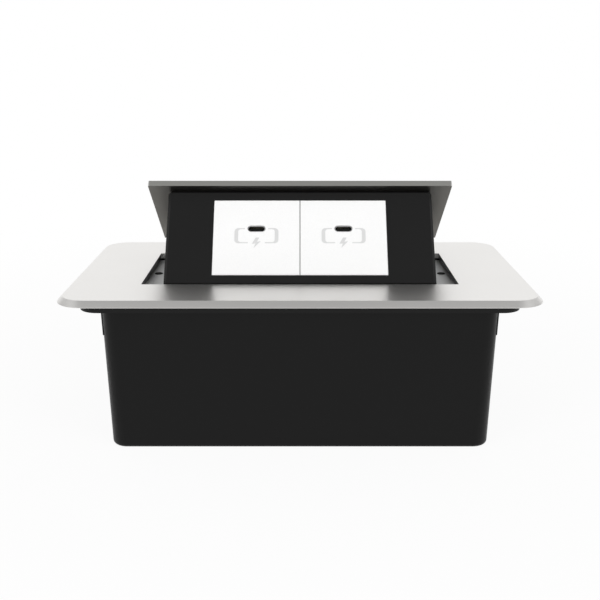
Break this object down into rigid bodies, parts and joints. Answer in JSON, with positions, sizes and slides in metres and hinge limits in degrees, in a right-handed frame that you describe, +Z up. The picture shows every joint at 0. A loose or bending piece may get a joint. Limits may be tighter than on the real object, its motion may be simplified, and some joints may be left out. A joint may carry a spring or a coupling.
{
  "type": "tilt-up desk power box",
  "caption": "Flush desk power box: satin metal plate over a black tub, with a sprung lidded cassette that tilts up to show its white USB-C charger modules",
  "frame": {"origin": "middle of the tub's underside, which is also the middle of the faceplate in plan", "axes": "+Z up, +X to the right along the faceplate's long side, +Y to the rear, the hinge side"},
  "size_m": [0.2354, 0.1322, 0.1262],
  "materials": {
    "satin_plate": "satin, fine blasted grain",
    "frame_plastic": "matt",
    "ledge_grey": "matt",
    "tub_plastic": "fine matt texture",
    "case_plastic": "smooth matt",
    "module_white": "semi-gloss",
    "module_grey": "matt",
    "bright_steel": "turned",
    "screw_zinc": "zinc plated",
    "bracket_steel": "zinc plated sheet",
    "spring_steel": "drawn wire",
    "bush_plastic": "natural",
    "stop_rubber": "matt",
    "damper_plastic": "matt",
    "latch_plastic": "matt",
    "inlet_plastic": "matt",
    "contact_brass": "tin-plated brass",
    "usb_steel": "stamped",
    "usb_tongue": "matt",
    "board_green": "solder mask",
    "transformer_amber": "taped winding",
    "capacitor_sleeve": "sleeved",
    "terminal_plastic": "matt"
  },
  "bodies": {
    "housing": {"bracket_screws": "screw_zinc", "damper_barrel": "damper_plastic", "damper_screws": "screw_zinc", "faceplate": "satin_plate", "faceplate_studs": "bright_steel", "hinge_bracket_left": "bracket_steel", "hinge_bracket_right": "bracket_steel", "hinge_pin_left": "bright_steel", "hinge_pin_right": "bright_steel", "inlet_blades": "contact_brass", "inlet_housing": "inlet_plastic", "latch_body": "latch_plastic", "latch_screws": "screw_zinc", "latch_spring": "spring_steel", "ledge_screws": "screw_zinc", "mounting_frame": "frame_plastic", "side_ledge_left": "ledge_grey", "side_ledge_right": "ledge_grey", "stop_pin_left": "bright_steel", "stop_pin_right": "bright_steel", "stop_sleeve_left": "stop_rubber", "stop_sleeve_right": "stop_rubber", "stud_nuts": "bright_steel", "torsion_spring_left": "spring_steel", "torsion_spring_right": "spring_steel", "tub": "tub_plastic", "tub_screws": "screw_zinc"},
    "cassette": {"lid": "satin_plate", "lid_screws": "screw_zinc", "cassette_shell": "case_plastic", "bezel_frame": "case_plastic", "damper_arm": "bracket_steel", "damper_shaft": "bright_steel", "arm_screws": "screw_zinc", "striker": "case_plastic", "lead_grommet": "stop_rubber", "hinge_arm_left": "bracket_steel", "hinge_arm_right": "bracket_steel", "hinge_bush_left": "bush_plastic", "hinge_bush_right": "bush_plastic", "module_cover_left": "module_white", "module_cover_right": "module_white", "module_body_left": "module_grey", "module_body_right": "module_grey", "usb_shell_left": "usb_steel", "usb_shell_right": "usb_steel", "usb_tongue_left": "usb_tongue", "usb_tongue_right": "usb_tongue", "module_board_left": "board_green", "module_board_right": "board_green", "module_transformer_left": "transformer_amber", "module_transformer_right": "transformer_amber", "module_capacitors_left": "capacitor_sleeve", "module_capacitors_right": "capacitor_sleeve", "module_terminals_left": "terminal_plastic", "module_terminals_right": "terminal_plastic"},
    "plunger": {"latch_plunger": "latch_plastic"}
  },
  "joints": [
    {"name": "cassette_tilt", "type": "hinge", "parent": "housing", "child": "cassette", "pos_m": [0, 0.0523, 0.0564], "axis": [1, 0, 0], "range_deg": [0, 37.34], "stiffness_Nm_per_rad": 0.25, "springref_deg": -40.11, "deforming": ["torsion_spring_left", "torsion_spring_right"]},
    {"name": "latch_press", "type": "slide", "parent": "housing", "child": "plunger", "axis": [0, 0, 1], "range_m": [-0.003, 0], "stiffness_N_per_m": 120, "springref_m": 0.004, "deforming": ["latch_spring"]}
  ]
}
